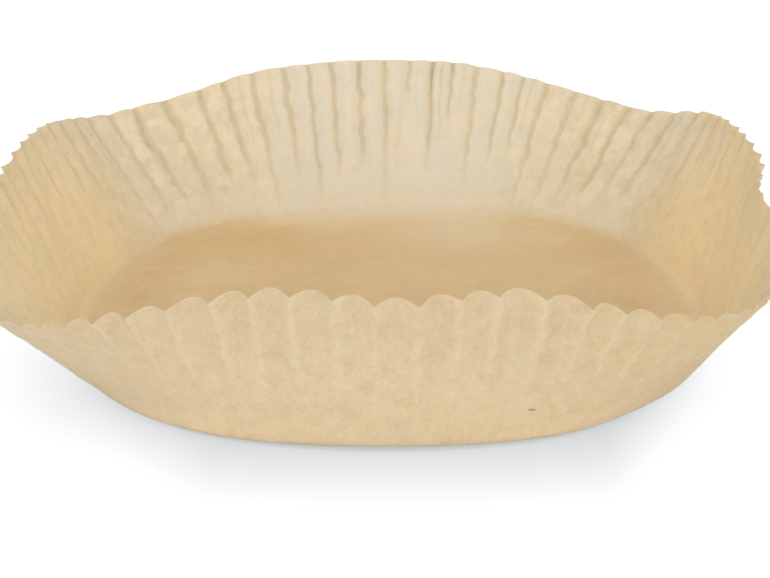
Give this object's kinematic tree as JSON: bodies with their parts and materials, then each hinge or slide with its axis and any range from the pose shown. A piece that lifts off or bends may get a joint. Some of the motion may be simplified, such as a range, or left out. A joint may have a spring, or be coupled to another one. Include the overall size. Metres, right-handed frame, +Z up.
{
  "type": "baking paper bowl",
  "caption": "Round bowl pressed from one sheet of unbleached baking paper, with a flat base and a flared, fluted wall that lines a baking tray or fryer basket.",
  "frame": {"origin": "middle of the underside of the flat base", "axes": "+Z up, out of the bowl's mouth; -Y to the front, which the picture shows nearest; +X to its right"},
  "size_m": [0.1931, 0.1918, 0.042],
  "materials": {
    "baking_paper": "smooth unbleached greaseproof paper, faintly mottled, matt with a slight sheen"
  },
  "bodies": {
    "root": {"paper_bowl": "baking_paper"}
  },
  "joints": []
}
